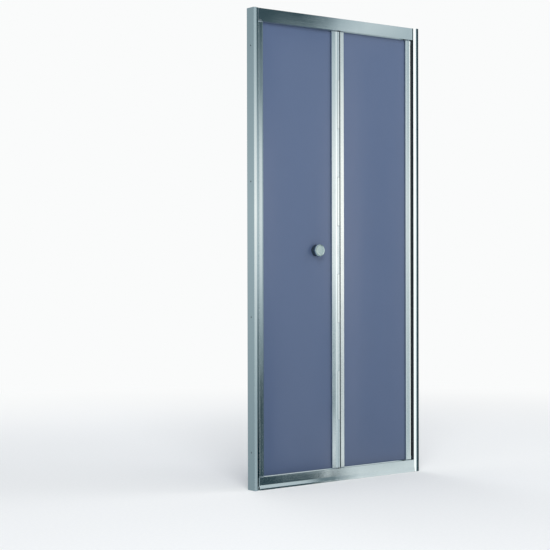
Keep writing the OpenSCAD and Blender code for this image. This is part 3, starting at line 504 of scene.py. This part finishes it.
# Screens for the bright metal to mirror. Each has (height in degrees, level) pairs, from below
# upward, and a level may pass 255. Levels under -8 and over 9 degrees show on the sill and the
# head rail, and those from 14 to 40 degrees on the sill's slope.
SIDE = ((-60, 140), (-8, 146), (2, 170), (9.5, 150), (60, 160))
PALE = ((-60, 190), (-30, 186), (-7, 192), (-5, 198), (-2.7, 218), (0, 240), (2.5, 247),
        (4.6, 236), (7, 208), (9.5, 186), (20, 200), (60, 220))
CRADLE = ((-30, 200), (-7.5, 196), (-5.2, 215), (-2.7, 232), (-0.3, 266), (2.1, 270), (4.5, 264),
          (6.9, 226), (9.3, 218), (20, 218))
RIGHT_BEAD = ((-30, 190), (-7.5, 194), (-2, 208), (2, 222), (6, 210), (9.5, 192), (20, 196))
RIGHT_JAMB = ((-8, 262), (2, 268), (9.5, 284))
LEFT_LEG = ((-30, 168), (-8, 168), (-5.2, 171), (-2.7, 196), (-0.3, 221), (2, 243), (4.5, 227),
            (6.9, 201), (9.3, 178), (20, 190))
CLOSING_STILE = ((-60, 60), (-30, 78), (-7.5, 66), (-5.2, 58), (-2.7, 146), (-0.3, 206), (2, 227),
                 (4.5, 216), (6.9, 130), (9.3, 82), (9.7, 74), (12, 74), (20, 196))
RAILS_LEFT = ((-60, 60), (-30, 74), (-8.3, 62), (-7.95, 186), (8.95, 180), (9.3, 70), (12, 70),
              (20, 196), (60, 235))
RAILS_MIDDLE = ((-60, 60), (-30, 74), (-8.2, 62), (-7.85, 186), (8.85, 180), (9.2, 84), (12, 82),
                (20, 196), (60, 225))
RAILS_RIGHT = ((-60, 208), (-30, 226), (-7.9, 226), (-7.65, 160), (8.95, 160), (9.15, 204))
WIDE_HINGE_STILE = ((-7.3, 222), (-5.4, 112), (-4.6, 118), (-2.7, 162), (-0.3, 228), (2, 246),
                    (4.5, 234), (7, 202), (9.25, 164), (9.6, 116), (12, 114), (20, 196))
NARROW_HINGE_STILE = ((-7.5, 205), (-5.2, 210), (-2.7, 226), (-0.3, 248), (2, 252), (4.5, 240),
                      (6.9, 220), (9.2, 205), (9.6, 180), (20, 196))
PIVOT_STILE = ((-60, 208), (-30, 226), (-7.9, 224), (-7.4, 190), (-2, 210), (1.5, 224), (6, 204),
               (9, 186))
RIGHT_LEG = ((-30, 54), (3, 62), (30, 68))
LEFT_JAMB = ((-30, 24), (-7.5, 24), (-5.2, 84), (-2.7, 116), (-0.3, 176), (2, 192), (4.5, 176),
             (6.9, 128), (9.3, 80), (20, 76))
LEFT_BEAD = ((-30, 76), (-5, 84), (-2, 150), (2, 180), (6, 146), (9.5, 112), (20, 112))

SILL_GLEAM = ((-60, 150), (-30, 226), (-8.2, 226), (-8.0, 222))
SILL_DARK_LEFT = ((-60, 70), (-30, 70), (-8.15, 70), (-7.9, 222))
SILL_DARK_RIGHT = ((-60, 76), (-30, 76), (-8.1, 76), (-7.85, 205))
SILL_PALE = ((-60, 190), (-30, 222), (-8.2, 222), (-7.95, 205))
SLOPE_PLAIN = ((20, 196),)
SLOPE_DARK = ((14, 190), (17, 112), (24, 112), (40, 190))
SLOPE_DIM = ((14, 180), (17, 122), (24, 122), (40, 190))
SLOPE_PALE = ((16, 205), (20, 218), (40, 200))

# Each screen fades in between two turns, in degrees from -Y towards +X, over the one before it.
# Faces that look to the front mirror the turns from 37 to 44, in their order along the door.
SCREENS = (
    (-181, -180, SIDE),
    (-110, -90, PALE),
    (-70, -62, CRADLE),
    (-48, -40, PALE),
    (11, 12.5, RIGHT_BEAD),
    (16.4, 17, RIGHT_JAMB),
    (24, 26, LEFT_LEG),
    (31, 34, CLOSING_STILE),
    (37.7, 37.9, RAILS_LEFT),
    (38.9, 39.3, RAILS_MIDDLE),
    (39.68, 39.8, SILL_GLEAM + WIDE_HINGE_STILE),
    (39.93, 40.0, SILL_DARK_LEFT + WIDE_HINGE_STILE),
    (40.2, 40.35, SILL_DARK_RIGHT + NARROW_HINGE_STILE),
    (40.54, 40.6, SILL_PALE + NARROW_HINGE_STILE),
    (41.1, 41.3, RAILS_RIGHT + SLOPE_PLAIN),
    (41.6, 41.8, RAILS_RIGHT + SLOPE_DARK),
    (42.7, 42.85, PIVOT_STILE + SLOPE_DIM),
    (43.08, 43.16, PIVOT_STILE + SLOPE_PALE),
    (46.5, 48, RIGHT_LEG),
    (57, 58.5, LEFT_JAMB),
    (63.3, 64, LEFT_BEAD),
    (72, 78, PALE),
)
STRAIGHT_DOWN, STRAIGHT_UP = -90, 90
AMBIENT, AMBIENT_COLOUR = 0.62, (0.95, 0.97, 1.0, 1.0)


def add_world():
    """Pale all round for the camera; what glossy surfaces see has dark and bright screens."""
    world = bpy.data.worlds.new("studio")
    world.use_nodes = True
    scene.world = world
    shader = Shader(world.node_tree)

    def light(colour, strength=1.0):
        return shader.add("Background", {"Color": colour, "Strength": strength}).outputs[0]

    towards = shader.add("TexCoord").outputs["Generated"]
    axes = shader.add("SeparateXYZ", {0: towards}).outputs
    turn = shader.math("ARCTAN2", axes["X"], shader.math("MULTIPLY", axes["Y"], -1.0))
    turn = shader.math("DEGREES", turn)
    rise = shader.math("DEGREES", shader.math("ARCSINE", axes["Z"]))
    seen = BACKDROP
    for start, end, levels in SCREENS:
        stops = [(at, screen_light(level)) for at, level in levels]
        lit = shader.ramp(rise, STRAIGHT_DOWN, STRAIGHT_UP, stops)
        seen = shader.blend(shader.spread(turn, start, end, 0.0, 1.0), seen, lit)

    rays = shader.add("LightPath").outputs
    watched = shader.math("ADD", rays["Is Camera Ray"], rays["Is Transmission Ray"], clamp=True)
    mixed = shader.add("MixShader", {0: rays["Is Glossy Ray"], 1: light(AMBIENT_COLOUR, AMBIENT),
                                     2: light(seen)}).outputs[0]
    mixed = shader.add("MixShader", {0: watched, 1: mixed, 2: light(BACKDROP)}).outputs[0]
    output = shader.add("OutputWorld")
    shader.links.new(mixed, output.inputs["Surface"])


# Name, place, diameter and power of each lamp. All point at the middle of the door
LAMPS = (
    ("key", (-2.6, -3.4, 3.6), 2.2, 90),
    ("fill", (3.4, -2.2, 2.4), 2.6, 40),
    ("back", (0.8, 3.6, 3.2), 2.4, 50),
)
LAMP_TARGET = Vector((0, 0, 0.9))


def add_lamps():
    """Soft round lamps that the bright metal doesn't mirror."""
    for name, place, size, power in LAMPS:
        data = bpy.data.lights.new(name, "AREA")
        data.shape, data.size, data.energy = "DISK", size, power
        lamp = bpy.data.objects.new(name, data)
        lamp.location = place
        lamp.rotation_euler = (LAMP_TARGET - Vector(place)).to_track_quat("-Z", "Y").to_euler()
        lamp.visible_glossy = False
        scene.collection.objects.link(lamp)


# The whole scene

add_camera()
finish_nodes()
add_knob()
add_jamb_seal()
add_stile_trims()
add_head_trims()
add_floor()
add_world()
add_lamps()
